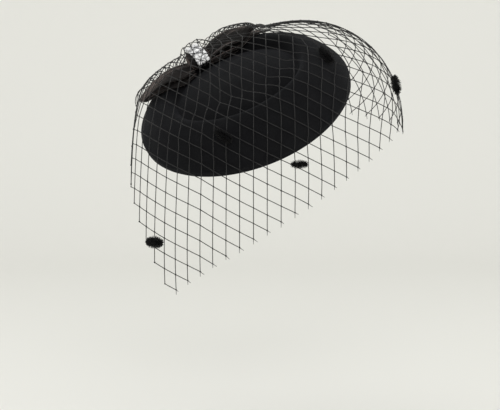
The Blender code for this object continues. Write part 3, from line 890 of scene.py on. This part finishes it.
def lay_net(net):
    """Every knot's place by column and row: even diamonds in front, gathered and eased elsewhere."""
    knots = even_knots(net)
    good = {}
    for (i, j), place in knots.items():
        column, row = i - j, i + j
        if (LEFT_COLUMN <= column <= RIGHT_COLUMN and SEAM_ROW + SEAM_ROWS <= row <= HEM_ROW
                and -0.02 < place[0] < EVEN_UNTIL and place[1] > EVEN_FROM and is_even(net, knots, i, j)):
            good[column, row] = place
    joined, waiting = {(0, 0)}, [(0, 0)]
    while waiting:
        for key in beside(*waiting.pop()):
            if key in good and key not in joined:
                joined.add(key)
                waiting.append(key)
    good = {key: good[key] for key in joined}
    hem = {column: place[0] for (column, row), place in sorted(good.items()) if row >= HEM_ROW - 1}
    ends = sorted(hem)
    columns = [LEFT_COLUMN, *ends, RIGHT_COLUMN]
    shares = [0.0, *(hem[column] for column in ends), 1.0]
    places, free = {}, []
    for column in range(LEFT_COLUMN, RIGHT_COLUMN + 1):
        for row in range(SEAM_ROW, HEM_ROW + 1):
            if (column + row) % 2:
                continue
            across = (row - SEAM_ROW) / (HEM_ROW - SEAM_ROW)
            at_seam = (column - LEFT_COLUMN) / (RIGHT_COLUMN - LEFT_COLUMN)
            at_hem = float(np.interp(column, columns, shares))
            along = at_hem * across + at_seam * (1 - across)
            if column in (LEFT_COLUMN, RIGHT_COLUMN):
                along = at_seam
            elif row not in (SEAM_ROW, HEM_ROW, HEM_ROW - 1) and (column, row) not in good:
                free.append((column, row))
            places[column, row] = np.array(good.get((column, row), (along, across)))
    for _ in range(EASE_ROUNDS):
        for key in free:
            near = [places[other] for other in beside(*key) if other in places]
            places[key] = sum(near) / len(near)
    return places


def build_veil(net):
    """The net, thread by thread, with a small knot at each crossing and cut ends at the hem."""
    rng = random.Random(5)
    places = lay_net(net)
    bm = bmesh.new()
    for (column, row), place in sorted(places.items()):
        here = Vector(net.at(*place))
        for key in ((column + 1, row + 1), (column - 1, row + 1)):
            if key in places:
                steps = [place + (places[key] - place) * k / 4 for k in range(5)]
                tube(bm, [Vector(net.at(*step)) for step in steps], THREAD / 2)
        if row > SEAM_ROW:
            size = THREAD * rng.uniform(0.9, 1.2)
            bmesh.ops.create_icosphere(bm, subdivisions=1, radius=size, matrix=Matrix.Translation(here))
        if row == HEM_ROW:
            for key in ((column - 1, row - 1), (column + 1, row - 1)):
                if key in places:
                    away = (here - Vector(net.at(*places[key]))).normalized()
                    droop = Vector((0, 0, -0.3 * rng.random()))
                    end = here + (away + droop) * HEM_TAIL * rng.uniform(0.5, 1.0)
                    tube(bm, [here, here.lerp(end, 0.5), end], THREAD * 0.42, 5, 0.6)
    finish_piece("net_veil", bm, thread_finish(), ["veil"])


def build_stitches():
    """Small stitches that hold the gathered edge to the felt."""
    bm = bmesh.new()
    for k in range(STITCHES):
        here = gather_point((k + 0.5) / STITCHES)
        ahead = gather_point((k + 0.9) / STITCHES) - here
        out = here.normalized()
        cross = ahead.cross(out).normalized() * 0.0013
        lift = out * 0.0006
        points = [here - cross - lift, here - cross * 0.5 + lift,
                  here + cross * 0.5 + lift, here + cross - lift]
        tube(bm, points, STITCH_THREAD / 2, 5)
    finish_piece("seam_stitches", bm, stitch_finish())


# The chenille dots

def build_tuft(number, net):
    """A short length of chenille, seated on the net: flat fronds all round a core."""
    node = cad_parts[f"chenille_dot_{number}"]
    spots = np.array([vertex.co for vertex in node.data.vertices])
    middle = spots.mean(axis=0)
    _, vectors = np.linalg.eigh(np.cov((spots - middle).T))
    long_axis, wide_axis = Vector(vectors[:, 2]), Vector(vectors[:, 1])
    reach = (spots - middle) @ np.array(vectors)
    length, width, depth = (TUFT_SPREAD * float(np.ptp(reach[:, axis])) for axis in (2, 1, 0))
    thin_axis = long_axis.cross(wide_axis)
    threads = net.grid.reshape(-1, 3)
    tied = threads[np.linalg.norm(threads - middle, axis=1).argmin()]
    centre = Vector(tied + unit(middle - tied) * TUFT_SEAT)
    rng = random.Random(40 + number)
    bm = bmesh.new()
    core = [centre + long_axis * length * share for share in (-0.36, -0.18, 0.0, 0.18, 0.36)]
    tube(bm, core, TUFT_CORE, 8)
    for k in range(TUFT_FRONDS):
        share = (k + 0.5) / TUFT_FRONDS - 0.5
        angle = GOLDEN_ANGLE * k + rng.uniform(-0.25, 0.25)
        side = (wide_axis * math.cos(angle) * width + thin_axis * math.sin(angle) * depth) / 2
        full = math.sqrt(max(0.0, 1 - (1.75 * share) ** 2))
        lean = long_axis * length * share * 0.28
        root = centre + long_axis * length * share * 0.78
        tip = root + side * full * rng.uniform(0.86, 1.04) + lean * rng.uniform(0.6, 1.3)
        flat = (tip - root).cross(long_axis).normalized() * FROND_WIDTH
        bend = root.lerp(tip, 0.6) + flat * rng.uniform(-1, 1)
        thick = long_axis * FROND_THICKNESS
        ring = [root + flat, root + thick, root - flat, root - thick]
        wide = [bend + flat * 1.25, bend + thick * 1.2, bend - flat * 1.25, bend - thick * 1.2]
        first = [bm.verts.new(p) for p in ring]
        second = [bm.verts.new(p) for p in wide]
        end = bm.verts.new(tip)
        bm.faces.new(first[::-1])
        for n in range(4):
            m = (n + 1) % 4
            bm.faces.new((first[n], first[m], second[m], second[n]))
            bm.faces.new((second[n], second[m], end))
    bmesh.ops.recalc_face_normals(bm, faces=bm.faces)
    finish_piece(f"tuft_{number}", bm, bpy.data.materials["chenille_tuft"],
                 [f"chenille_dot_{number}"])


# The stage

def build_stage():
    """A pale floor that curves up into a backdrop."""
    bm = bmesh.new()
    profile = [(-3.0, 0.0), (1.2, 0.0)]
    for k in range(1, 13):
        angle = math.pi / 2 * k / 12
        profile.append((1.2 + 0.8 * math.sin(angle), 0.8 * (1 - math.cos(angle))))
    profile.append((2.0, 3.5))
    turn = Matrix.Rotation(CAMERA_AZIMUTH, 4, "Z")
    rows = [[turn @ Vector((x, y, FLOOR_LEVEL + z)) for x in (-4.0, 4.0)] for y, z in profile]
    skin(bm, rows)
    mesh = bpy.data.meshes.new("floor")
    bm.to_mesh(mesh)
    bm.free()
    finish = Finish("pale_floor", (0.80, 0.797, 0.765), 0.9)
    mesh.materials.append(finish.material)
    mesh.shade_smooth()
    floor = bpy.data.objects.new("floor", mesh)
    bpy.context.scene.collection.objects.link(floor)


def add_light(name, place, size, power, colour=(1.0, 1.0, 1.0)):
    light = bpy.data.lights.new(name, "AREA")
    light.size = size
    light.energy = power
    light.color = colour
    lamp = bpy.data.objects.new(name, light)
    lamp.location = place
    lamp.rotation_euler = Vector(place).to_track_quat("Z", "Y").to_euler()
    bpy.context.scene.collection.objects.link(lamp)


def build_lights():
    """Soft studio light: a large key in front on the left, a fill and a weaker top light."""
    add_light("key", (-0.7, -1.8, 0.8), 1.2, 18)
    add_light("fill", (1.3, -1.3, 0.3), 1.6, 7)
    add_light("top", (-0.6, 0.5, 1.6), 1.4, 5)
    world = bpy.data.worlds.new("studio")
    world.use_nodes = True
    world.node_tree.nodes["Background"].inputs["Color"].default_value = (0.93, 0.93, 0.90, 1.0)
    world.node_tree.nodes["Background"].inputs["Strength"].default_value = 0.84
    bpy.context.scene.world = world


def build_camera():
    camera = bpy.data.cameras.new("camera")
    camera.lens = CAMERA_LENS
    camera.sensor_width = CAMERA_SENSOR
    turn = Matrix(camera_axes()).transposed().to_4x4()
    viewer = bpy.data.objects.new("camera", camera)
    viewer.matrix_world = Matrix.Translation(CAMERA_PLACE) @ turn
    bpy.context.scene.collection.objects.link(viewer)
    bpy.context.scene.camera = viewer
    bpy.context.scene.view_settings.view_transform = "Standard"


def repaint(finish, names):
    """Gives a CAD node that stays in view its finish."""
    for name in names:
        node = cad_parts[name]
        node.data.materials.clear()
        node.data.materials.append(finish)


def main():
    build_camera()
    build_lights()
    build_stage()
    place = hat_matrix()
    velvet_finish()
    build_felt(place)
    build_loops(place)
    build_tail(place)
    knot = place @ Matrix.Translation((BOW_CENTRE[0], BOW_CENTRE[1], knot_level()))
    build_knot(knot)
    metal = metal_finish()
    build_settings(knot)
    repaint(crystal_painted_glint_finish(), [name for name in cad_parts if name.startswith("rhinestone_")
                               and name != "rhinestone_band"])
    repaint(metal, ["rhinestone_band"])
    repaint(comb_finish(), ["hair_comb"])
    net = Net()
    build_veil(net)
    build_stitches()
    chenille_finish()
    for number in range(1, 6):
        build_tuft(number, net)


main()
